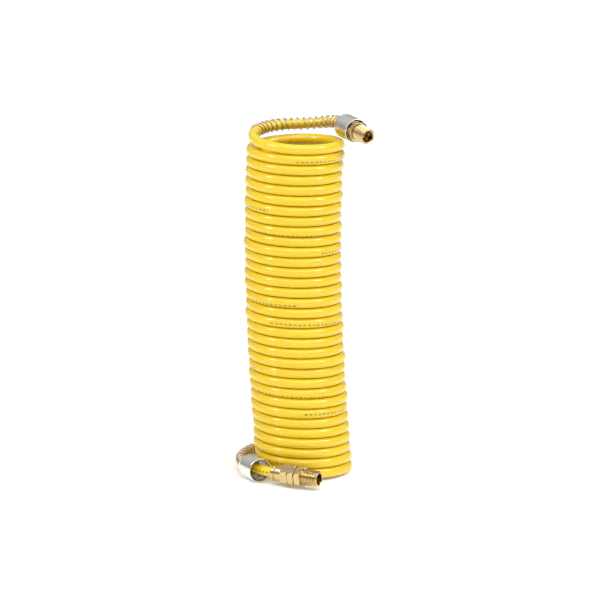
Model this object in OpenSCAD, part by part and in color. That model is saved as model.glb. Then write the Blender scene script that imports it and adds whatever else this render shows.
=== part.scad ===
/* [Hose] */
// Outside diameter of the nylon tube
hose_d = 8.4; // [8:0.1:8.4]
// Bore of the nylon tube
hose_bore = 6.3; // [6:0.1:6.4]
// Radius of the coil at the middle of its tube
coil_r = 36.4; // [36.2:0.1:36.6]
// Height of the lowest turn's centre at the front of the coil
first_turn_z = 7; // [6.9:0.1:7.2]
// Rise of one turn at the bottom of the coil
turn_pitch = 8.45; // [8.44:0.01:8.48]
// Half of how much more each turn rises than the one below it
pitch_growth = 0.002; // [0.001:0.0005:0.003]
// Turns from the lowest front point to the highest front point
coil_turns = 32; // [30:1:32]
// How far the column leans to the left at most
lean_most = 9; // [8:0.1:9.5]

/* [Spring guards] */
// Wire of the spring guards
guard_wire_d = 1.15; // [0.9:0.05:1.2]
// Gap between the tube and the inside of a spring guard
guard_gap = 0.12; // [0.05:0.01:0.2]
// Turns of each spring guard
guard_turns = 17; // [12:1:17]
// Length of each spring guard along the tube
guard_length = 91; // [80:1:92]

/* [Guard cups] */
// Outside diameter of a guard cup
cup_d = 20; // [19.8:0.1:20]
// Sheet thickness of a guard cup
cup_wall = 0.8; // [0.6:0.1:0.8]
// Length of a guard cup
cup_length = 24; // [23.6:0.1:24.4]
// Hole in the back of a guard cup
cup_hole_d = 11.4; // [11.2:0.1:11.6]

/* [Fittings] */
// Width across the flats of the three hexagons
hex_flats = 15.9; // [15.5:0.1:15.9]
// Diameter to which the hexagon corners are turned down
hex_corners_d = 18.2; // [17.6:0.1:18.2]
// Outside diameter of the male pipe thread
thread_d = 13.4; // [13:0.1:13.6]
// Air bore at the open end of the swivel
air_bore_d = 9.4; // [9:0.1:9.6]
// Bore through the stem
stem_bore_d = 4.6; // [4:0.1:4.8]

/* [Hidden] */

hose_color = "gold";
brass_color = "burlywood";
zinc_color = "lightsteelblue";
wire_color = "gray";
seal_color = "dimgray";
washer_color = "ivory";

hose_r = hose_d / 2;
curve_fn = 64;

// The bottom fitting: where the tube enters its nut, and how it turns and droops
bottom_entry = [-24.9, -45.3, 9.8];
bottom_yaw = 30;
bottom_droop = 0;
bottom_roll = 10;
// The top fitting: the same for the end that points up and to the front right
top_entry = [32, 15, 291];
top_yaw = 62;
top_droop = 4.6;
top_roll = 20;
// The bottom guard is slid back to here, and it points between tube and fitting
bottom_guard_angle = 203;
bottom_guard_r = 51.6;
bottom_guard_z = 10.4;
bottom_guard_yaw = 62;

// Stations along a fitting, measured from the back face of its nut
flange_end = 2.3;
barrel_end = 9.6;
nut_end = 16.5;
stem_hex_start = 16.7;
stem_hex_end = 22.4;
washer_end = 22.9;
swivel_start = 23;
swivel_hex_end = 28.6;
fitting_end = 43.4;
tube_end = 15.2;
cavity_start = 3.4;
sleeve_start = 3.6;
sleeve_end = 9.2;
barbs = [4, 6.6, 9.2];
socket_start = 9.6;
seal_groove = [25.4, 27.2];
ring_groove = [31.3, 32.1];
spigot_end = 33.3;
seal_groove_r = 3.3;

// Routes of the two tails as [angle, radius, height] about the coil's upright axis
bottom_route = [
    [5, 36.4, 4.8], [16, 36.6, 4.5], [27, 37.3, 4.4], [38, 38.8, 4.5], [49, 41, 5.1], [60, 43.9, 6.3],
    [70, 46.9, 7.9], [80, 49.6, 9.4], [90, 51.2, 10.2], [100, 51.6, 10.4], [110, 51.6, 10.4],
    [120, 51.6, 10.4], [130, 51.6, 10.4], [140, 51.6, 10.4], [150, 51.6, 10.4], [160, 51.6, 10.4],
    [170, 51.6, 10.4], [180, 51.6, 10.4], [190, 51.6, 10.4], [203, 51.6, 10.4], [212, 51.6, 10.3],
    [221, 51.6, 10.1], [230, 51.7, 9.9]
];
// The same for the top tail, about the coil's axis where it ends
top_axis_x = -6.9;
top_route = [
    [270, 36.4, 279.4], [254, 36.2, 280], [238, 35.8, 280.8], [222, 35.4, 281.7], [206, 35.1, 282.8],
    [190, 34.9, 284], [174, 34.9, 285.2], [158, 35.1, 286.1], [142, 35.5, 286.7], [126, 36, 287.1],
    [110, 36.6, 287.3], [100, 36.9, 287.4], [90, 37.3, 287.5], [82.4, 37.9, 287.6], [75, 39, 287.9],
    [65, 40.6, 288.6], [55, 41.6, 289.7], [44.8, 42, 290.9]
];
// Straight run of tube behind each nut
lead_in = 9;
// Points worked out between two route points
route_steps = 2;
// Radius of the swept tails, which end just inside the round tube in the nuts
tail_r = hose_r - 0.06;
tail_sides = 12;
wire_sides = 6;
wire_points_per_turn = 12;
coil_sides = 60;
coil_stations = 12;
lean_rate = 0.48;

// Height of the tube's centre after so many turns up from the lowest front point
function turn_z(turns) = first_turn_z + turn_pitch * turns + pitch_growth * turns * turns;

// The solid coil ends half a turn below the last front point, where the top tail leaves it
coil_top_z = turn_z(coil_turns - 0.5);

// How far the column leans at height z
function lean(z) = -lean_most * sin(lean_rate * max(z - first_turn_z, 0));

function unit(v) = v / norm(v);

// The way a fitting points
function heading(yaw, droop) =
    [cos(yaw) * cos(droop), -sin(yaw) * cos(droop), -sin(droop)];

function from_polar(p, axis_x) = [axis_x + p[1] * cos(p[0]), p[1] * sin(p[0]), p[2]];

// A smooth curve through four points, at share t of the way from b to c
function between(a, b, c, d, t) =
    0.5 * (2 * b + (c - a) * t + (2 * a - 5 * b + 4 * c - d) * t * t
    + (3 * b - a - 3 * c + d) * t * t * t);

function at(points, i) = points[min(max(i, 0), len(points) - 1)];

function smoothed(points) = [
    for (i = [0:len(points) - 2], k = [0:route_steps - 1])
        between(at(points, i - 1), points[i], points[i + 1], at(points, i + 2), k / route_steps),
    points[len(points) - 1]
];

// A tail's centre line: its route, then straight into the fitting
function tail_line(route, axis_x, entry, way, straight) = smoothed(concat(
    [for (p = route) from_polar(p, axis_x)],
    [for (share = straight) entry - way * lead_in * share],
    [entry]
));

bottom_way = heading(bottom_yaw, bottom_droop);
top_way = heading(top_yaw, top_droop);
bottom_line = tail_line(bottom_route, 0, bottom_entry, bottom_way, [0.4]);
top_line = tail_line(top_route, top_axis_x, top_entry, top_way, [1, 0.5]);

function direction(line, i) = unit(at(line, i + 1) - at(line, i - 1));
function sideways(way) = unit(cross([0, 0, 1], way));

// A ring of points round a place on a line, square to it
function ring(place, way, r, sides) = let (side = sideways(way), up = cross(way, side))
    [for (k = [0:sides - 1]) place + r * (side * cos(360 * k / sides) + up * sin(360 * k / sides))];

// Faces that skin a run of rings and close both ends
function tube_faces(rings, sides) = concat(
    [[for (k = [0:sides - 1]) k]],
    [for (i = [0:rings - 2], k = [0:sides - 1]) [
        i * sides + k, (i + 1) * sides + k, (i + 1) * sides + (k + 1) % sides
    ]],
    [for (i = [0:rings - 2], k = [0:sides - 1]) [
        i * sides + k, (i + 1) * sides + (k + 1) % sides, i * sides + (k + 1) % sides
    ]],
    [[for (k = [sides - 1:-1:0]) (rings - 1) * sides + k]]
);

module swept_tube(line, r, sides) {
    rings = [for (i = [0:len(line) - 1]) each ring(line[i], direction(line, i), r, sides)];
    polyhedron(rings, tube_faces(len(line), sides), convexity = 6);
}

// Distance along a line at each of its points
function distances(line, i = 0, done = 0) = i == len(line) - 1 ? [done] :
    concat([done], distances(line, i + 1, done + norm(line[i + 1] - line[i])));

// The place on a line at distance s from its start
function place_at(line, travelled, s, i = 0) =
    i >= len(line) - 2 || travelled[i + 1] >= s
        ? line[i] + (line[i + 1] - line[i]) * (s - travelled[i]) / (travelled[i + 1] - travelled[i])
        : place_at(line, travelled, s, i + 1);

// Rings of a wire wound round a line, each square to the wire
function wire_rings(line, r, wire_r, turns, s_from, s_to) = let (
    travelled = distances(line),
    count = turns * wire_points_per_turn,
    step = (s_to - s_from) / count
) [
    for (i = [0:count]) let (
        s = s_from + step * i,
        way = unit(place_at(line, travelled, s + 1) - place_at(line, travelled, s - 1)),
        side = sideways(way),
        up = cross(way, side),
        turn = 360 * i / wire_points_per_turn,
        out = side * cos(turn) + up * sin(turn),
        round_way = up * cos(turn) - side * sin(turn),
        along = unit(round_way * r * 2 * PI + way * step * wire_points_per_turn),
        across = cross(along, out),
        place = place_at(line, travelled, s) + r * out
    ) each [
        for (k = [0:wire_sides - 1])
            place + wire_r * (out * cos(360 * k / wire_sides) + across * sin(360 * k / wire_sides))
    ]
];

module spring_guard(line, s_from, s_to) {
    wire_r = guard_wire_d / 2;
    winding_r = hose_r + guard_gap + wire_r;
    rings = wire_rings(line, winding_r, wire_r, guard_turns, s_from, s_to);
    color(wire_color) polyhedron(
        rings, tube_faces(guard_turns * wire_points_per_turn + 1, wire_sides), convexity = 10
    );
}

// Puts a piece drawn up +Z on a fitting's axis
module on_axis(place, yaw, droop, roll = 0) {
    translate(place) rotate([0, 90 + droop, -yaw]) rotate([0, 0, roll]) children();
}

module at_bottom() {
    on_axis(bottom_entry, bottom_yaw, bottom_droop, bottom_roll) children();
}

module at_top() {
    on_axis(top_entry, top_yaw, top_droop, top_roll) children();
}

module round_bar(from, to, d) {
    translate([0, 0, from]) cylinder(h = to - from, d = d, $fn = curve_fn);
}

// A hexagon with its corners turned down
module hex_bar(from, to) {
    intersection() {
        translate([0, 0, from]) cylinder(h = to - from, d = hex_flats / cos(30), $fn = 6);
        round_bar(from, to, hex_corners_d);
    }
}

module turned(profile) {
    rotate_extrude($fn = curve_fn) polygon(profile);
}

// The steel cup, drawn with its back wall at zero and its mouth upwards
module guard_cup() {
    hole_r = cup_hole_d / 2;
    cup_r = cup_d / 2;
    shoulder_h = 5.2;
    shoulder_in = 0.6;
    shoulder_drop = 0.9;
    back_r = 7.6;
    inside_r = cup_r - cup_wall;
    color(zinc_color) turned([
        [hole_r, 0], [back_r, 0], [cup_r - shoulder_in, shoulder_h - shoulder_drop],
        [cup_r, shoulder_h], [cup_r, cup_length], [inside_r, cup_length],
        [inside_r, shoulder_h + 0.1], [inside_r - shoulder_in, shoulder_h - 0.5],
        [back_r - 0.3, cup_wall], [hole_r, cup_wall]
    ]);
}

// Nut with a flange, a rounded barrel and a hexagon
module compression_nut() {
    flange_d = 13.8;
    neck_d = 12.8;
    barrel_d = 14.4;
    cavity_d = 11.9;
    back_hole_d = hose_d + 0.4;
    edge = 0.4;
    neck_length = 0.6;
    barrel_start = flange_end + 1.8;
    color(brass_color) difference() {
        union() {
            turned([
                [0, 0], [flange_d / 2 - edge, 0], [flange_d / 2, edge],
                [flange_d / 2, flange_end - 0.5], [neck_d / 2, flange_end],
                [neck_d / 2, flange_end + neck_length], [barrel_d / 2, barrel_start],
                [barrel_d / 2, barrel_end + 1], [0, barrel_end + 1]
            ]);
            hex_bar(barrel_end, nut_end);
        }
        round_bar(-1, nut_end, back_hole_d);
        round_bar(cavity_start, nut_end + 1, cavity_d);
    }
}

// Split ferrule that the nut squeezes on to the tube
module grip_sleeve() {
    inner_r = hose_r + 0.03;
    outer_r = 5.7;
    back_r = 4.8;
    front_r = 5;
    color(brass_color) turned([
        [inner_r, sleeve_start], [back_r, sleeve_start], [outer_r, sleeve_start + 1.4],
        [outer_r, sleeve_end - 1.2], [front_r, sleeve_end], [inner_r, sleeve_end]
    ]);
}

// Stem with a barbed tail in the tube, a hexagon, and a spigot that the swivel turns on
module barbed_stem() {
    barb_r = hose_bore / 2 - 0.02;
    root_r = barb_r - 0.35;
    barb_back = 0.1;
    barb_start = 1.6;
    shank_r = 5.75;
    socket_r = hose_r + 0.05;
    socket_end = tube_end + 0.3;
    spigot_r = 3.9;
    spigot_edge = 0.3;
    ring_groove_r = 3.4;
    color(brass_color) difference() {
        union() {
            turned([
                [0, barb_start], [root_r - 0.2, barb_start],
                for (z = barbs) each [[barb_r, z], [root_r, z + barb_back]],
                [root_r, socket_end], [socket_r, socket_end], [socket_r, socket_start],
                [shank_r, socket_start], [shank_r, stem_hex_start + 1], [0, stem_hex_start + 1]
            ]);
            hex_bar(stem_hex_start, stem_hex_end);
            turned([
                [0, stem_hex_end - 1], [spigot_r, stem_hex_end - 1], [spigot_r, seal_groove[0]],
                [seal_groove_r, seal_groove[0]], [seal_groove_r, seal_groove[1]],
                [spigot_r, seal_groove[1]], [spigot_r, ring_groove[0]],
                [ring_groove_r, ring_groove[0]], [ring_groove_r, ring_groove[1]],
                [spigot_r, ring_groove[1]], [spigot_r, spigot_end - spigot_edge],
                [spigot_r - spigot_edge, spigot_end], [0, spigot_end]
            ]);
        }
        round_bar(0, spigot_end + 1, stem_bore_d);
    }
}

// Nylon washer between the two hexagons
module thrust_washer() {
    outer_d = 13;
    hole_d = 8;
    color(washer_color) difference() {
        round_bar(stem_hex_end + 0.02, washer_end, outer_d);
        round_bar(stem_hex_end - 1, washer_end + 1, hole_d);
    }
}

// Rubber ring in the spigot's groove
module swivel_seal() {
    seal_r = 0.27;
    seal_sides = 24;
    middle = (seal_groove[0] + seal_groove[1]) / 2;
    color(seal_color) translate([0, 0, middle]) rotate_extrude($fn = curve_fn)
        translate([seal_groove_r + seal_r + 0.02, 0]) circle(r = seal_r, $fn = seal_sides);
}

// Split spring ring that keeps the swivel on its spigot
module retaining_ring() {
    gap_w = 1.6;
    outer_d = 9;
    inner_d = 6.84;
    play = 0.05;
    color(wire_color) difference() {
        round_bar(ring_groove[0] + play, ring_groove[1] - play, outer_d);
        round_bar(ring_groove[0] - 1, ring_groove[1] + 1, inner_d);
        translate([0, -gap_w / 2, ring_groove[0] - 1]) cube([outer_d, gap_w, 3]);
    }
}

// The part that turns: a hexagon and a male pipe thread on one bored body
module swivel_body() {
    thread_r = thread_d / 2;
    relief_r = 5.9;
    relief_end = swivel_hex_end + 0.7;
    thread_start = swivel_hex_end + 1.3;
    thread_edge = [0.8, 0.9];
    spigot_bore_d = 7.88;
    air_bore_start = 31.1;
    color(brass_color) difference() {
        union() {
            hex_bar(swivel_start, swivel_hex_end);
            turned([
                [0, swivel_hex_end - 1], [relief_r, swivel_hex_end - 1],
                [relief_r, relief_end], [thread_r, thread_start],
                [thread_r, fitting_end - thread_edge[1]], [thread_r - thread_edge[0], fitting_end],
                [0, fitting_end]
            ]);
        }
        round_bar(swivel_start - 1, fitting_end, spigot_bore_d);
        round_bar(air_bore_start, fitting_end + 1, air_bore_d);
    }
}

// The hose's straight end inside a fitting
module tube_end_piece() {
    overlap = 0.6;
    difference() {
        round_bar(-overlap, tube_end, hose_d);
        round_bar(overlap, tube_end + 1, hose_bore);
    }
}

// A leaning round column, as a polyhedron
module leaning_column(r, z_from, z_to) {
    rings = [
        for (i = [0:coil_stations], k = [0:coil_sides - 1])
            let (z = z_from + (z_to - z_from) * i / coil_stations, turn = 360 * k / coil_sides)
                [lean(z) + r * cos(turn), r * sin(turn), z]
    ];
    polyhedron(rings, tube_faces(coil_stations + 1, coil_sides), convexity = 4);
}

// The wound turns as one leaning hollow column
module hose_coil() {
    color(hose_color) difference() {
        leaning_column(coil_r + hose_r, 0, coil_top_z);
        leaning_column(coil_r - hose_r, -1, coil_top_z + 1);
    }
}

module bottom_hose_tail() {
    color(hose_color) {
        swept_tube(bottom_line, tail_r, tail_sides);
        at_bottom() tube_end_piece();
    }
}

module top_hose_tail() {
    color(hose_color) {
        swept_tube(top_line, tail_r, tail_sides);
        at_top() tube_end_piece();
    }
}

// Distance along the bottom tail to the back of its guard cup
bottom_guard_stop = search(bottom_guard_angle, [for (p = bottom_route) p[0]])[0] * route_steps;
bottom_guard_s = distances(bottom_line)[bottom_guard_stop] + cup_wall / 2;
// The top guard is pushed home, so that its spring ends just behind the nut
top_guard_play = 0.9;
top_guard_s = distances(top_line)[len(top_line) - 1] - top_guard_play;

module bottom_spring_guard() {
    spring_guard(bottom_line, bottom_guard_s - guard_length, bottom_guard_s);
}

module top_spring_guard() {
    spring_guard(top_line, top_guard_s - guard_length, top_guard_s);
}

module bottom_guard_cup() {
    place = [
        bottom_guard_r * cos(bottom_guard_angle), bottom_guard_r * sin(bottom_guard_angle),
        bottom_guard_z
    ];
    on_axis(place, bottom_guard_yaw, 0) guard_cup();
}

module top_guard_cup() {
    at_top() translate([0, 0, swivel_start - cup_length - 0.1]) guard_cup();
}

module bottom_compression_nut() { at_bottom() compression_nut(); }
module bottom_grip_sleeve() { at_bottom() grip_sleeve(); }
module bottom_barbed_stem() { at_bottom() barbed_stem(); }
module bottom_thrust_washer() { at_bottom() thrust_washer(); }
module bottom_swivel_seal() { at_bottom() swivel_seal(); }
module bottom_retaining_ring() { at_bottom() retaining_ring(); }
module bottom_swivel_body() { at_bottom() swivel_body(); }
module top_compression_nut() { at_top() compression_nut(); }
module top_grip_sleeve() { at_top() grip_sleeve(); }
module top_barbed_stem() { at_top() barbed_stem(); }
module top_thrust_washer() { at_top() thrust_washer(); }
module top_swivel_seal() { at_top() swivel_seal(); }
module top_retaining_ring() { at_top() retaining_ring(); }
module top_swivel_body() { at_top() swivel_body(); }

hose_coil();
bottom_hose_tail();
bottom_spring_guard();
bottom_guard_cup();
bottom_compression_nut();
bottom_grip_sleeve();
bottom_barbed_stem();
bottom_thrust_washer();
bottom_swivel_seal();
bottom_retaining_ring();
bottom_swivel_body();
top_hose_tail();
top_spring_guard();
top_guard_cup();
top_compression_nut();
top_grip_sleeve();
top_barbed_stem();
top_thrust_washer();
top_swivel_seal();
top_retaining_ring();
top_swivel_body();
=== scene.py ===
import math
import bpy
import numpy as np
from mathutils import Matrix, Vector


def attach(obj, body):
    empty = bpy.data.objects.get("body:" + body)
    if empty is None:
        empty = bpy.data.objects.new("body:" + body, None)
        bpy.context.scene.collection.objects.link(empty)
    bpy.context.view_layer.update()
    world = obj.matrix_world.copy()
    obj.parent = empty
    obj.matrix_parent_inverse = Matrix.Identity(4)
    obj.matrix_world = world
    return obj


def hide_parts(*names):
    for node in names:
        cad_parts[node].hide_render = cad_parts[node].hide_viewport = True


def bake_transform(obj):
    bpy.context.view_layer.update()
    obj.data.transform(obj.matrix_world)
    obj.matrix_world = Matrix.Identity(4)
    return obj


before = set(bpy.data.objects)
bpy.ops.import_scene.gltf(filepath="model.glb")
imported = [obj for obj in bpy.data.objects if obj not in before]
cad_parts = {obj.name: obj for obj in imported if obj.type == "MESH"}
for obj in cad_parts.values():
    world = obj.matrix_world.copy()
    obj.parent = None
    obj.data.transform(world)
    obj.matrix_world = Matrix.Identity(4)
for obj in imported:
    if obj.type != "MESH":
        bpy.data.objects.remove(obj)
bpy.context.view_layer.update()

# ---------------------------------------------------------------- sizes, in metres
MM = 0.001
HOSE_R = 4.2 * MM
HOSE_BORE_R = 3.15 * MM
TUBE_INSIDE = 15.2 * MM
BORE_DEPTH = 14 * MM
COIL_R = 36.4 * MM
FIRST_TURN_Z = 7 * MM
TURN_PITCH = 8.45 * MM
PITCH_GROWTH = 0.002 * MM
COIL_TURNS = 32
COIL_START_TURN = -95 / 360
LEAN_MOST = 9 * MM
LEAN_RATE = 480
TOP_AXIS_X = -6.9 * MM
LEAD_IN = 9 * MM
POINTS_PER_TURN = 40
HOSE_SIDES = 24
ROUTE_STEPS = 6

# Where each tube enters its nut, and the fitting's yaw, droop and roll in degrees
BOTTOM_ENTRY = Vector((-0.0249, -0.0453, 0.0098))
BOTTOM_TURN = (30, 0, 10)
TOP_ENTRY = Vector((0.032, 0.015, 0.291))
TOP_TURN = (62, 4.6, 20)

# Where the bottom guard has slid back to, on a circle about the coil's axis, and its yaw
BOTTOM_GUARD_ANGLE = 203
BOTTOM_GUARD_R = 0.0516
BOTTOM_GUARD_Z = 0.0104
BOTTOM_GUARD_YAW = 62

# The tails' routes, as (angle in degrees, radius, height) about the coil's axis
BOTTOM_ROUTE = [
    (5, 0.0364, 0.0048), (16, 0.0366, 0.0045), (27, 0.0373, 0.0044), (38, 0.0388, 0.0045),
    (49, 0.041, 0.0051), (60, 0.0439, 0.0063), (70, 0.0471, 0.0079), (80, 0.0501, 0.0095),
    (90, 0.0515, 0.0103), *[(angle, BOTTOM_GUARD_R, BOTTOM_GUARD_Z) for angle in range(100, 200, 10)],
    (BOTTOM_GUARD_ANGLE, BOTTOM_GUARD_R, BOTTOM_GUARD_Z),
    (212, 0.0516, 0.0103), (221, 0.0516, 0.0101), (230, 0.0517, 0.0099),
]
TOP_ROUTE = [
    (270, 0.0364, 0.2794), (254, 0.0362, 0.28), (238, 0.0358, 0.2808), (222, 0.0354, 0.2817),
    (206, 0.0351, 0.2828), (190, 0.0349, 0.284), (174, 0.0349, 0.2852), (158, 0.0351, 0.2861),
    (142, 0.0355, 0.2867), (126, 0.036, 0.2871), (110, 0.0366, 0.2873), (100, 0.0369, 0.2874),
    (90, 0.0373, 0.2875), (82.4, 0.0379, 0.2876), (75, 0.039, 0.2879), (65, 0.0406, 0.2886),
    (55, 0.0416, 0.2897), (44.8, 0.042, 0.2909),
]

# Stations along a fitting, from the back face of its nut
BARREL_END = 9.6 * MM
NUT_END = 16.5 * MM
STEM_HEX_START = 16.7 * MM
STEM_HEX_END = 22.4 * MM
SWIVEL_START = 23 * MM
SWIVEL_HEX_END = 28.6 * MM
FITTING_END = 43.4 * MM
SPIGOT_END = 33.3 * MM
CUP_LENGTH = 24 * MM
CUP_WALL = 0.8 * MM
GUARD_LENGTH = 91 * MM
GUARD_TURNS = 17
WIRE_R = 0.575 * MM
WINDING_R = HOSE_R + 0.12 * MM + WIRE_R
HEX_FLATS = 15.9 * MM
HEX_CORNERS_R = 9.1 * MM
HEX_ROUNDING = 0.15 * MM
FITTING_SIDES = 120
THREAD_PITCH = 25.4 / 18 * MM
# The thread's radius falls by one part in this many of its length
TAPER = 32


# ---------------------------------------------------------------- camera
VIEW_DISTANCE = 3.7
VIEW_ELEVATION = math.radians(12.5)
AIM = Vector((-0.0033, 0, 0.1458))
camera_data = bpy.data.cameras.new("camera")
camera_data.sensor_width = 36
camera_data.lens = 267.5
camera_data.clip_end = 50
camera = bpy.data.objects.new("camera", camera_data)
bpy.context.scene.collection.objects.link(camera)
camera.location = AIM + VIEW_DISTANCE * Vector((0, -math.cos(VIEW_ELEVATION), math.sin(VIEW_ELEVATION)))
camera.rotation_euler = (math.pi / 2 - VIEW_ELEVATION, 0, 0)
bpy.context.scene.camera = camera


# ---------------------------------------------------------------- shapes
def new_object(name, data):
    made = bpy.data.objects.new(name, data)
    bpy.context.scene.collection.objects.link(made)
    return made


def grid_mesh(name, rings, looped=False):
    """A smooth skin over a run of rings: its ends are capped, or the last ring joins the first."""
    rings = np.asarray(rings, float)
    count, sides = rings.shape[:2]
    faces = []
    for i in range(count if looped else count - 1):
        a, b = i * sides, (i + 1) % count * sides
        for k in range(sides):
            n = (k + 1) % sides
            faces.append((a + k, a + n, b + n, b + k))
    if not looped:
        faces.append(tuple(range(sides - 1, -1, -1)))
        faces.append(tuple(range((count - 1) * sides, count * sides)))
    mesh = bpy.data.meshes.new(name)
    mesh.from_pydata(rings.reshape(-1, 3).tolist(), [], faces)
    mesh.shade_smooth()
    mesh.set_sharp_from_angle(angle=math.radians(38))
    mesh.update()
    return mesh


def keep_vectors(mesh, name, vectors):
    """Keeps a vector for each point of a mesh, for its material to read."""
    kept = mesh.attributes.new(name, "FLOAT_VECTOR", "POINT")
    kept.data.foreach_set("vector", np.asarray(vectors, np.float32).ravel())


def keep_place(piece):
    """Keeps each point's place as drawn, so that the finish follows the piece."""
    points = np.zeros(len(piece.data.vertices) * 3, np.float32)
    piece.data.vertices.foreach_get("co", points)
    keep_vectors(piece.data, "piece_place", points)


def lean(z):
    """How far the coil's column leans to the side at this height."""
    return -LEAN_MOST * math.sin(math.radians(LEAN_RATE * max(z - FIRST_TURN_Z, 0)))


def heading(yaw, droop):
    """The way a fitting points."""
    yaw, droop = math.radians(yaw), math.radians(droop)
    return Vector((math.cos(yaw) * math.cos(droop), -math.sin(yaw) * math.cos(droop), -math.sin(droop)))


def from_polar(point, axis_x):
    """A route point's place, about an upright axis."""
    angle, radius, height = point
    angle = math.radians(angle)
    return Vector((axis_x + radius * math.cos(angle), radius * math.sin(angle), height))


def smoothed(points, steps):
    """A smooth curve through the points, with steps pieces between each two."""
    def at(i):
        return points[min(max(i, 0), len(points) - 1)]

    line = []
    for i in range(len(points) - 1):
        a, b, c, d = at(i - 1), points[i], points[i + 1], at(i + 2)
        for k in range(steps):
            t = k / steps
            line.append(0.5 * (2 * b + (c - a) * t + (2 * a - 5 * b + 4 * c - d) * t * t
                               + (3 * b - a - 3 * c + d) * t ** 3))
    line.append(points[-1])
    return line


def tail_line(route, axis_x, entry, turn, straight):
    """A tail's centre line: its route, then straight into its fitting."""
    way = heading(turn[0], turn[1])
    points = [from_polar(p, axis_x) for p in route]
    points += [entry - way * LEAD_IN * share for share in straight] + [entry]
    return smoothed(points, ROUTE_STEPS)


def coil_point(turn):
    """The tube's centre after so many turns up from the lowest front point."""
    angle = math.radians(270 - 360 * turn)
    z = FIRST_TURN_Z + TURN_PITCH * turn + PITCH_GROWTH * turn * turn
    share = min(max(min(turn + 0.2, COIL_TURNS - turn) / 1.5, 0), 1)
    ease = share * share * (3 - 2 * share)
    shift_x = ease * MM * (0.34 * math.sin(1.9 * turn + 0.4) + 0.22 * math.sin(4.7 * turn + 1.1))
    shift_y = ease * MM * (0.3 * math.sin(1.3 * turn + 2.0) + 0.2 * math.sin(3.9 * turn))
    radius = COIL_R + ease * MM * 0.18 * math.sin(2.9 * turn + 0.7)
    return Vector((lean(z) + shift_x + radius * math.cos(angle), shift_y + radius * math.sin(angle), z))


def lengths(line):
    """Distance along a line at each of its points."""
    steps = [0.0] + [(b - a).length for a, b in zip(line, line[1:])]
    return np.cumsum(steps)


def tangents(line):
    """The way a line runs at each of its points."""
    found = []
    for i in range(len(line)):
        a, b = line[max(i - 1, 0)], line[min(i + 1, len(line) - 1)]
        found.append((b - a).normalized())
    return found


UP = Vector((0, 0, 1))

bottom_tail = tail_line(BOTTOM_ROUTE, 0, BOTTOM_ENTRY, BOTTOM_TURN, [0.4])
top_tail = tail_line(TOP_ROUTE, TOP_AXIS_X, TOP_ENTRY, TOP_TURN, [1, 0.5])
coil_span = COIL_TURNS - COIL_START_TURN
coil_count = round(coil_span * POINTS_PER_TURN)
coil = [coil_point(COIL_START_TURN + coil_span * i / coil_count) for i in range(1, coil_count)]
hose_line = bottom_tail[::-1] + coil + top_tail


def build_hose():
    """The whole tube as one mesh, with its bore open at both ends inside the nuts."""
    line = [BOTTOM_ENTRY + heading(*BOTTOM_TURN[:2]) * TUBE_INSIDE] + hose_line
    line += [TOP_ENTRY + heading(*TOP_TURN[:2]) * TUBE_INSIDE]
    s = lengths(line)
    ways = tangents(line)
    start, end = line[0], line[-1]
    # at each end the skin turns in, so that the tube has a wall and a bore where it stops
    stations = [(start + ways[0] * BORE_DEPTH, ways[0], 0.0, HOSE_BORE_R)]
    stations += [(start, ways[0], 0.0, HOSE_BORE_R)]
    stations += [(place, way, dist, HOSE_R) for place, way, dist in zip(line, ways, s)]
    stations += [(end, ways[-1], s[-1], HOSE_BORE_R)]
    stations += [(end - ways[-1] * BORE_DEPTH, ways[-1], s[-1], HOSE_BORE_R)]
    angles = [2 * math.pi * k / HOSE_SIDES for k in range(HOSE_SIDES)]
    rings = []
    for place, way, dist, radius in stations:
        side = UP.cross(way).normalized()
        up = way.cross(side)
        rings.append([place + radius * (side * math.cos(a) + up * math.sin(a)) for a in angles])
    mesh = grid_mesh("hose", rings)
    at_s = np.repeat([station[2] for station in stations], HOSE_SIDES)
    at_angle = np.tile(angles, len(stations))
    around = [HOSE_R * np.cos(at_angle), HOSE_R * np.sin(at_angle)]
    keep_vectors(mesh, "hose_place", np.stack([at_s, *around], axis=1))
    # distance round the tube from the printed line, which drifts slowly
    drift = 0.35 * np.sin(at_s * 5.1 + 0.6) + 0.25 * np.sin(at_s * 11.7) - 0.25
    off = (at_angle - drift + math.pi) % (2 * math.pi) - math.pi
    keep_vectors(mesh, "ink_place", np.stack([at_s, HOSE_R * off, np.zeros_like(off)], axis=1))
    return new_object("yellow_hose", mesh), line


hose, hose_full_line = build_hose()
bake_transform(hose)
hose_places = np.zeros(len(hose.data.vertices) * 3, np.float32)
hose.data.attributes["hose_place"].data.foreach_get("vector", hose_places)
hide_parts("hose_coil", "bottom_hose_tail", "top_hose_tail")


# ---------------------------------------------------------------- fittings
FITTING_ANGLES = [2 * math.pi * k / FITTING_SIDES for k in range(FITTING_SIDES)]


def on_axis(place, turn):
    """Where a piece drawn up its own Z goes: its yaw, droop and roll in degrees."""
    yaw, droop, roll = (math.radians(a) for a in turn)
    return (Matrix.Translation(place) @ Matrix.Rotation(-yaw, 4, "Z")
            @ Matrix.Rotation(math.pi / 2 + droop, 4, "Y") @ Matrix.Rotation(roll, 4, "Z"))


def hexagon(angle):
    """Distance from the axis to the flats of a hexagon with a corner at angle zero."""
    within = (angle % (math.pi / 3)) - math.pi / 6
    return HEX_FLATS / 2 / math.cos(within)


def softer(a, b, rounding):
    """The smaller of two radii, with the edge between them rounded off."""
    h = max(rounding - abs(a - b), 0) / rounding
    return min(a, b) - h * h * rounding / 4


def ring_at(z, radii):
    return [(r * math.cos(a), r * math.sin(a), z) for r, a in zip(radii, FITTING_ANGLES)]


def circle(z, radius):
    return ring_at(z, [radius] * FITTING_SIDES)


def cut_to_hexagon(z, radius):
    return ring_at(z, [softer(radius, hexagon(a), HEX_ROUNDING) for a in FITTING_ANGLES])


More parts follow.
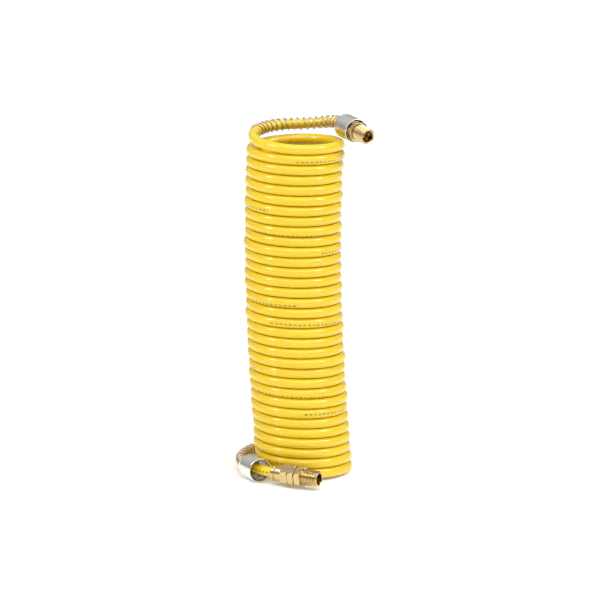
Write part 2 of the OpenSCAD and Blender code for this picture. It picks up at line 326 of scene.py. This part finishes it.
def closed_piece(name, rings):
    """A piece whose skin runs up the outside, in at the top and down the bore."""
    return new_object(name, grid_mesh(name, rings, looped=True))


def circles(profile):
    return [circle(z, radius) for z, radius in profile]


def rounded(points, radius, steps=5):
    """An outline whose inner corners are replaced by arcs of about this radius."""
    points = [Vector(p) for p in points]
    line = [points[0]]
    for before, corner, after in zip(points, points[1:], points[2:]):
        reach = min(radius, (before - corner).length * 0.45, (after - corner).length * 0.45)
        a = corner + (before - corner).normalized() * reach
        b = corner + (after - corner).normalized() * reach
        for k in range(steps + 1):
            t = k / steps
            line.append((1 - t) ** 2 * a + 2 * t * (1 - t) * corner + t * t * b)
    line.append(points[-1])
    return line


def hex_rings(start, end):
    """A hexagon's outside: faced ends whose corners are turned down."""
    chamfer = 0.6 * MM
    face_edge = 0.3 * MM
    low = HEX_FLATS / 2 - HEX_ROUNDING
    high = HEX_CORNERS_R
    rise = [(chamfer * t, low + (high - low) * t ** 0.8) for t in (0.2, 0.4, 0.6, 0.8, 1)]
    profile = [(start, low - face_edge), (start, low)]
    profile += [(start + z, r) for z, r in rise]
    profile += [(start + (end - start) * t, high) for t in (0.4, 0.6)]
    profile += [(end - z, r) for z, r in reversed(rise)]
    profile += [(end, low), (end, low - face_edge)]
    return [cut_to_hexagon(z, r) for z, r in profile]


def compression_nut(name):
    outline = rounded([
        (0.0, 5.2 * MM), (0.0, 6.9 * MM), (2.3 * MM, 6.9 * MM), (2.3 * MM, 6.35 * MM),
        (3.0 * MM, 6.35 * MM), (4.0 * MM, 7.15 * MM), (9.4 * MM, 7.15 * MM), (BARREL_END, 7.3 * MM),
    ], 0.45 * MM)
    bore_r = 4.4 * MM
    cavity_r = 5.95 * MM
    bore = [(NUT_END, cavity_r + 0.3 * MM), (NUT_END - 0.3 * MM, cavity_r), (4.6 * MM, cavity_r),
            (3.4 * MM, bore_r), (0.35 * MM, bore_r), (0.0, bore_r + 0.35 * MM)]
    return closed_piece(name, circles(outline) + hex_rings(BARREL_END, NUT_END) + circles(bore))


def barbed_stem(name):
    tip = 1.6 * MM
    barb_r = 3.13 * MM
    root_r = 2.78 * MM
    barbs = [(tip, 2.5 * MM)]
    for start, top in ((1.7, 4.0), (4.1, 6.6), (6.7, 9.2)):
        barbs += [(start * MM, root_r), ((top - 0.15) * MM, barb_r)]
        barbs += [(top * MM, barb_r), ((top + 0.05) * MM, root_r)]
    socket_r = 4.25 * MM
    socket_end = 15.5 * MM
    shank_r = 5.75 * MM
    shank = [(socket_end, root_r), (socket_end, socket_r), (BARREL_END + 0.1 * MM, socket_r),
             (BARREL_END, socket_r + 0.1 * MM), (BARREL_END, shank_r - 0.15 * MM),
             (BARREL_END + 0.15 * MM, shank_r), (STEM_HEX_START, shank_r)]
    spigot_r = 3.9 * MM
    edge = 0.3 * MM
    spigot = [(STEM_HEX_END, spigot_r)]
    for start, end, groove_r in ((25.4, 27.2, 3.3), (31.3, 32.1, 3.4)):
        spigot += [(start * MM, spigot_r), (start * MM, groove_r * MM)]
        spigot += [(end * MM, groove_r * MM), (end * MM, spigot_r)]
    spigot += [(SPIGOT_END - edge, spigot_r), (SPIGOT_END, spigot_r - edge)]
    bore_r = 2.3 * MM
    bore = [(SPIGOT_END, bore_r + 0.35 * MM), (SPIGOT_END - 0.35 * MM, bore_r), (tip, bore_r)]
    hexagon_rings = hex_rings(STEM_HEX_START, STEM_HEX_END)
    return closed_piece(name, circles(barbs + shank) + hexagon_rings + circles(spigot + bore))


def thread_radius(z, angle):
    """A tapered male pipe thread: 60 degree flanks, flattened a little at crest and root."""
    major_r = 6.86 * MM - (z - 30 * MM) / TAPER
    depth = 0.98 * MM
    phase = (z / THREAD_PITCH - angle / (2 * math.pi)) % 1
    flank = abs(phase - 0.5) * 2
    cut = min(max((flank - 0.1) / 0.78, 0), 1)
    return major_r - depth * cut


def swivel_body(name):
    relief_r = 5.9 * MM
    relief = [(SWIVEL_HEX_END, relief_r), (SWIVEL_HEX_END + 0.6 * MM, relief_r)]
    thread_start = 29.2 * MM
    thread_rows = 150
    thread = []
    for i in range(thread_rows + 1):
        z = thread_start + (FITTING_END - thread_start) * i / thread_rows
        lead = relief_r + (z - thread_start) * 1.2
        out = 5.55 * MM + (FITTING_END - z) * 1.1
        thread.append(ring_at(z, [min(thread_radius(z, a), lead, out) for a in FITTING_ANGLES]))
    wide_r = 4.7 * MM
    fit_r = 3.94 * MM
    step_z = 31.1 * MM
    bore = [(FITTING_END, wide_r + 0.45 * MM), (FITTING_END - 0.45 * MM, wide_r),
            (step_z + 0.1 * MM, wide_r), (step_z, wide_r - 0.1 * MM), (step_z, fit_r),
            (SWIVEL_START + 0.2 * MM, fit_r), (SWIVEL_START, fit_r + 0.2 * MM)]
    hexagon_rings = hex_rings(SWIVEL_START, SWIVEL_HEX_END)
    return closed_piece(name, hexagon_rings + circles(relief) + thread + circles(bore))


def guard_cup(name):
    """A drawn steel cup, its back wall at zero, with rounded shoulders and a rolled mouth."""
    cup_r = 10 * MM
    hole_r = 5.7 * MM
    mouth = CUP_LENGTH - 0.9 * MM
    outer = rounded([
        (0.0, hole_r), (0.0, 7.6 * MM), (3.3 * MM, 9.1 * MM), (5.4 * MM, cup_r),
        (8 * MM, cup_r), (mouth, cup_r),
    ], 1.8 * MM, steps=8)
    lip_r = CUP_WALL / 2
    lip = [Vector((CUP_LENGTH - lip_r + lip_r * math.sin(math.radians(a)),
                   cup_r - lip_r + lip_r * math.cos(math.radians(a)))) for a in range(0, 181, 20)]
    inner = rounded([
        (mouth, cup_r - CUP_WALL), (8 * MM, cup_r - CUP_WALL), (5.6 * MM, cup_r - CUP_WALL),
        (3.5 * MM, 9.1 * MM - CUP_WALL), (CUP_WALL, 7.1 * MM), (CUP_WALL, hole_r),
    ], 1.5 * MM, steps=8)
    hole_edge = [Vector((CUP_WALL / 2, hole_r - 0.12 * MM))]
    return closed_piece(name, circles(outer + lip + inner + hole_edge))


def place_at(line, s_of, s):
    """The place on a line at distance s from its start."""
    i = int(np.clip(np.searchsorted(s_of, s) - 1, 0, len(line) - 2))
    return line[i].lerp(line[i + 1], (s - s_of[i]) / (s_of[i + 1] - s_of[i]))


def spring_guard(name, line, s_from, s_to):
    """A wire wound round a tail, its ends rounded, and how far along it each of its points is."""
    s_of = lengths(line)
    per_turn = 40
    sides = 14
    count = GUARD_TURNS * per_turn
    step = (s_to - s_from) / count
    rings = []
    shares = []

    def wire_frame(i):
        s = s_from + step * i
        way = (place_at(line, s_of, s + 1 * MM) - place_at(line, s_of, s - 1 * MM)).normalized()
        side = UP.cross(way).normalized()
        up = way.cross(side)
        turn = 2 * math.pi * i / per_turn
        out = side * math.cos(turn) + up * math.sin(turn)
        round_way = up * math.cos(turn) - side * math.sin(turn)
        along = (round_way * WINDING_R * 2 * math.pi + way * step * per_turn).normalized()
        return place_at(line, s_of, s) + WINDING_R * out, out, along.cross(out), along

    def add_ring(i, radius, forward):
        centre, out, across, along = wire_frame(i)
        centre = centre + along * forward
        angles = [2 * math.pi * k / sides for k in range(sides)]
        rings.append([centre + radius * (out * math.cos(a) + across * math.sin(a)) for a in angles])
        shares.extend([i / count] * sides)

    bulge = [(math.cos(math.radians(a)), math.sin(math.radians(a))) for a in (20, 40, 60, 78)]
    for narrow, ahead in reversed(bulge):
        add_ring(0, WIRE_R * narrow, -WIRE_R * 0.7 * ahead)
    for i in range(count + 1):
        add_ring(i, WIRE_R, 0)
    for narrow, ahead in bulge:
        add_ring(count, WIRE_R * narrow, WIRE_R * 0.7 * ahead)
    piece = new_object(name, grid_mesh(name, rings))
    keep_place(piece)
    return piece, np.array(shares)


BOTTOM_GUARD_SPOT = from_polar((BOTTOM_GUARD_ANGLE, BOTTOM_GUARD_R, BOTTOM_GUARD_Z), 0)
HOME_SHIFT = Matrix.Translation((0, 0, SWIVEL_START - CUP_LENGTH - 0.1 * MM))
fittings = {}
for end, entry, turn in (("bottom", BOTTOM_ENTRY, BOTTOM_TURN), ("top", TOP_ENTRY, TOP_TURN)):
    home = on_axis(entry, turn)
    held_by = "root" if end == "bottom" else "top_end"
    for part, build, body in (
        ("compression_nut", compression_nut, held_by), ("barbed_stem", barbed_stem, held_by),
        ("swivel_body", swivel_body, end + "_swivel"), ("guard_cup", guard_cup, end + "_guard"),
    ):
        piece = build(end + "_" + part + "_finished")
        keep_place(piece)
        if part != "guard_cup":
            piece.data.transform(home)
        elif end == "top":
            piece.data.transform(home @ HOME_SHIFT)
        else:
            piece.data.transform(on_axis(BOTTOM_GUARD_SPOT, (BOTTOM_GUARD_YAW, 0, 0)))
        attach(piece, body)
        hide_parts(end + "_" + part)
        fittings[end, part] = piece

bottom_s = lengths(bottom_tail)
guard_stop = [p[0] for p in BOTTOM_ROUTE].index(BOTTOM_GUARD_ANGLE) * ROUTE_STEPS
bottom_guard_s = bottom_s[guard_stop] + CUP_WALL / 2
bottom_spring, _ = spring_guard(
    "bottom_spring_guard_finished", bottom_tail, bottom_guard_s - GUARD_LENGTH, bottom_guard_s)
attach(bottom_spring, "bottom_guard")
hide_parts("bottom_spring_guard")

TOP_GUARD_PLAY = 0.9 * MM
top_guard_s = lengths(top_tail)[-1] - TOP_GUARD_PLAY
top_spring, top_shares = spring_guard(
    "top_spring_guard_finished", top_tail, top_guard_s - GUARD_LENGTH, top_guard_s)
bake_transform(top_spring)
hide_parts("top_spring_guard")

hidden_parts = ("grip_sleeve", "thrust_washer", "swivel_seal", "retaining_ring")
on_hose = [*fittings.values(), bottom_spring, top_spring]
on_hose += [end + "_" + part for end in ("bottom", "top") for part in hidden_parts]


# ---------------------------------------------------------------- materials
class Shader:
    """A Principled material and short ways to add nodes to it."""

    def __init__(self, name, attribute=None):
        self.material = bpy.data.materials.new(name)
        self.material.use_nodes = True
        self.tree = self.material.node_tree
        self.surface = self.tree.nodes["Principled BSDF"]
        if attribute:
            source = self.node("ShaderNodeAttribute")
            source.attribute_name = attribute
            self.place = source.outputs["Vector"]
        else:
            self.place = self.node("ShaderNodeTexCoord").outputs["Object"]

    def node(self, kind):
        return self.tree.nodes.new(kind)

    def link(self, output, socket):
        self.tree.links.new(output, socket)

    def set(self, **values):
        for name, value in values.items():
            self.surface.inputs[name.replace("_", " ")].default_value = value

    def stretched(self, x, y, z):
        """The place, multiplied along each axis."""
        mapping = self.node("ShaderNodeMapping")
        mapping.inputs["Scale"].default_value = (x, y, z)
        self.link(self.place, mapping.inputs["Vector"])
        return mapping.outputs["Vector"]

    def noise(self, scale, detail, vector=None):
        texture = self.node("ShaderNodeTexNoise")
        texture.inputs["Scale"].default_value = scale
        texture.inputs["Detail"].default_value = detail
        self.link(vector or self.place, texture.inputs["Vector"])
        return texture.outputs["Fac"]

    def math(self, operation, a, b=0.0):
        found = self.node("ShaderNodeMath")
        found.operation = operation
        for socket, value in zip(found.inputs, (a, b)):
            if isinstance(value, (int, float)):
                socket.default_value = value
            else:
                self.link(value, socket)
        return found.outputs["Value"]

    def spread(self, value, low, high, from_low=0.3, from_high=0.7):
        """A texture's value, stretched to run from low to high."""
        span = self.node("ShaderNodeMapRange")
        span.inputs["From Min"].default_value = from_low
        span.inputs["From Max"].default_value = from_high
        span.inputs["To Min"].default_value = low
        span.inputs["To Max"].default_value = high
        self.link(value, span.inputs["Value"])
        return span.outputs["Result"]

    def mixed(self, factor, first, second):
        mix = self.node("ShaderNodeMix")
        mix.data_type = "RGBA"
        self.link(factor, mix.inputs["Factor"])
        colours = [s for s in mix.inputs if s.type == "RGBA"]
        for socket, value in zip(colours, (first, second)):
            if isinstance(value, tuple):
                socket.default_value = (*value, 1)
            else:
                self.link(value, socket)
        return [s for s in mix.outputs if s.type == "RGBA"][0]

    def colour(self, output):
        self.link(output, self.surface.inputs["Base Color"])

    def rough(self, output):
        self.link(output, self.surface.inputs["Roughness"])

    def bump(self, height, strength, distance):
        bump = self.node("ShaderNodeBump")
        bump.inputs["Strength"].default_value = strength
        bump.inputs["Distance"].default_value = distance
        self.link(height, bump.inputs["Height"])
        self.link(bump.outputs["Normal"], self.surface.inputs["Normal"])


def ink_dashes(shader):
    """Runs of short plain strokes along the hose, partly rubbed off."""
    source = shader.node("ShaderNodeAttribute")
    source.attribute_name = "ink_place"
    split = shader.node("ShaderNodeSeparateXYZ")
    shader.link(source.outputs["Vector"], split.inputs["Vector"])
    along, across = split.outputs["X"], split.outputs["Y"]
    run_every, run_length = 0.52, 0.085
    dash_every, dash_length = 0.0036, 0.0023
    half_width = 0.0008
    run = shader.math("LESS_THAN", shader.math("MODULO", along, run_every), run_length)
    dash = shader.math("LESS_THAN", shader.math("MODULO", along, dash_every), dash_length)
    thin = shader.math("LESS_THAN", shader.math("ABSOLUTE", across), half_width)
    worn = shader.spread(shader.noise(500, 2), 0.3, 0.95)
    printed = shader.math("MULTIPLY", run, dash)
    return shader.math("MULTIPLY", printed, shader.math("MULTIPLY", thin, worn))


def yellow_nylon():
    shader = Shader("yellow_nylon_tube", "hose_place")
    shader.set(Subsurface_Weight=0.4, Subsurface_Scale=0.004, IOR=1.53)
    shader.set(Coat_Weight=0.2, Coat_Roughness=0.14)
    shader.surface.inputs["Subsurface Radius"].default_value = (1.0, 0.6, 0.06)
    drawn = shader.stretched(12, 450, 450)
    tone = shader.spread(shader.noise(9, 3), 0, 1)
    streak = shader.spread(shader.noise(1, 2, drawn), 0, 0.3)
    body = shader.mixed(tone, (0.8, 0.575, 0.018), (0.77, 0.54, 0.015))
    body = shader.mixed(streak, body, (0.83, 0.61, 0.028))
    shader.colour(shader.mixed(ink_dashes(shader), body, (0.16, 0.11, 0.015)))
    shader.rough(shader.spread(shader.noise(160, 3), 0.21, 0.28))
    shader.bump(shader.noise(1, 2, drawn), 0.06, 0.0002)
    return shader.material


def turned_brass(attribute):
    shader = Shader("brass_" + (attribute or "hidden"), attribute)
    shader.set(Metallic=1.0)
    blotch = shader.spread(shader.noise(160, 3), 0, 1)
    speck = shader.spread(shader.noise(900, 2), 0, 0.2, 0.5, 0.75)
    body = shader.mixed(blotch, (0.68, 0.52, 0.27), (0.6, 0.45, 0.21))
    shader.colour(shader.mixed(speck, body, (0.42, 0.29, 0.12)))
    shader.rough(shader.spread(shader.noise(320, 3), 0.2, 0.3))
    rings = shader.stretched(20, 20, 1800)
    shader.bump(shader.noise(1, 2, rings), 0.1, 0.00006)
    return shader.material


def zinc_plate():
    shader = Shader("zinc_plated_steel", "piece_place")
    shader.set(Metallic=1.0)
    cloud = shader.spread(shader.noise(130, 4), 0, 1)
    shader.colour(shader.mixed(cloud, (0.93, 0.92, 0.87), (0.82, 0.81, 0.77)))
    shader.rough(shader.spread(shader.noise(260, 3), 0.22, 0.34))
    drawn = shader.stretched(300, 300, 40)
    shader.bump(shader.noise(1, 2, drawn), 0.1, 0.0001)
    return shader.material


def spring_wire(attribute):
    shader = Shader("spring_wire_" + (attribute or "hidden"), attribute)
    shader.set(Metallic=1.0)
    tone = shader.spread(shader.noise(240, 3), 0, 1)
    shader.colour(shader.mixed(tone, (0.72, 0.64, 0.6), (0.52, 0.45, 0.41)))
    shader.rough(shader.spread(shader.noise(700, 3), 0.24, 0.4))
    shader.bump(shader.noise(2500, 2), 0.1, 0.00004)
    return shader.material


def black_rubber():
    shader = Shader("black_rubber_seal")
    tone = shader.spread(shader.noise(600, 3), 0, 1)
    shader.colour(shader.mixed(tone, (0.02, 0.02, 0.02), (0.035, 0.034, 0.033)))
    shader.rough(shader.spread(shader.noise(1200, 3), 0.5, 0.7))
    shader.bump(shader.noise(3000, 3), 0.2, 0.00005)
    return shader.material


def white_nylon():
    shader = Shader("white_nylon_washer")
    shader.set(Subsurface_Weight=0.2, Subsurface_Scale=0.001)
    tone = shader.spread(shader.noise(300, 3), 0, 1)
    shader.colour(shader.mixed(tone, (0.86, 0.84, 0.78), (0.8, 0.78, 0.7)))
    shader.rough(shader.spread(shader.noise(800, 3), 0.35, 0.5))
    shader.bump(shader.noise(1800, 3), 0.15, 0.00005)
    return shader.material


def give(piece, material):
    piece.data.materials.clear()
    piece.data.materials.append(material)


brass = turned_brass("piece_place")
zinc = zinc_plate()
wire = spring_wire("piece_place")
give(hose, yellow_nylon())
for (end, part), piece in fittings.items():
    if part == "guard_cup":
        give(piece, zinc)
    else:
        give(piece, brass)
for piece in (bottom_spring, top_spring):
    give(piece, wire)
hidden_looks = {
    "grip_sleeve": turned_brass(None), "thrust_washer": white_nylon(),
    "swivel_seal": black_rubber(), "retaining_ring": spring_wire(None),
}
for end in ("bottom", "top"):
    for part, look in hidden_looks.items():
        for slot in bpy.data.objects[end + "_" + part].material_slots:
            slot.material = look


# ---------------------------------------------------------------- floor and light
def build_floor():
    mesh = bpy.data.meshes.new("floor")
    half = 20
    corners = [(-half, -half, 0), (half, -half, 0), (half, half, 0), (-half, half, 0)]
    mesh.from_pydata(corners, [], [(0, 1, 2, 3)])
    floor = new_object("floor", mesh)
    floor.location.z = -0.0002
    shader = Shader("white_floor")
    tone = shader.spread(shader.noise(3, 2), 0, 1)
    shader.colour(shader.mixed(tone, (0.92, 0.92, 0.92), (0.9, 0.9, 0.9)))
    shader.set(Roughness=0.9, Specular_IOR_Level=0.1, Emission_Strength=0.14)
    shader.surface.inputs["Emission Color"].default_value = (1, 1, 1, 1)
    mesh.materials.append(shader.material)


def add_light(name, kind, azimuth, elevation, energy):
    """A light from this way: azimuth is measured from the camera's side to the right."""
    light = new_object(name, bpy.data.lights.new(name, kind))
    light.data.energy = energy
    a, e = math.radians(azimuth), math.radians(elevation)
    way = Vector((math.sin(a) * math.cos(e), -math.cos(a) * math.cos(e), math.sin(e)))
    light.rotation_euler = way.to_track_quat("Z", "Y").to_euler()
    return light, way


def softbox(name, azimuth, elevation, energy):
    """A soft light aimed at the middle of the hose."""
    light, way = add_light(name, "AREA", azimuth, elevation, energy)
    light.data.shape = "RECTANGLE"
    light.data.size = SOFTBOX_WIDTH
    light.data.size_y = SOFTBOX_HEIGHT
    light.location = Vector((0, 0, 0.14)) + way * SOFTBOX_DISTANCE


def build_world(strength):
    """A studio that is brightest overhead and has pale and grey walls for metal to reflect."""
    world = bpy.data.worlds.new("studio")
    bpy.context.scene.world = world
    world.use_nodes = True
    tree = world.node_tree
    background = tree.nodes["Background"]
    background.inputs["Strength"].default_value = strength
    direction = tree.nodes.new("ShaderNodeTexCoord").outputs["Generated"]
    split = tree.nodes.new("ShaderNodeSeparateXYZ")
    tree.links.new(direction, split.inputs["Vector"])
    ramp = tree.nodes.new("ShaderNodeValToRGB")
    tree.links.new(split.outputs["Z"], ramp.inputs["Fac"])
    ramp.color_ramp.elements[0].position = 0.1
    ramp.color_ramp.elements[0].color = (0.42, 0.42, 0.42, 1)
    ramp.color_ramp.elements[1].position = 0.55
    ramp.color_ramp.elements[1].color = (1, 1, 1, 1)
    tree.links.new(ramp.outputs["Color"], background.inputs["Color"])


def soft_sun(name, azimuth, elevation, energy, spread):
    """Even light over the whole floor."""
    light, _ = add_light(name, "SUN", azimuth, elevation, energy)
    light.data.angle = math.radians(spread)


SOFTBOX_DISTANCE = 1.4
SOFTBOX_WIDTH = 0.26
SOFTBOX_HEIGHT = 0.36
build_floor()
build_world(0.58)
soft_sun("overhead_light", 15, 60, 1.7, 70)
softbox("left_softbox", -66, 42, 5.5)
softbox("right_softbox", 76, 42, 5.5)
bpy.context.scene.view_settings.view_transform = "Standard"
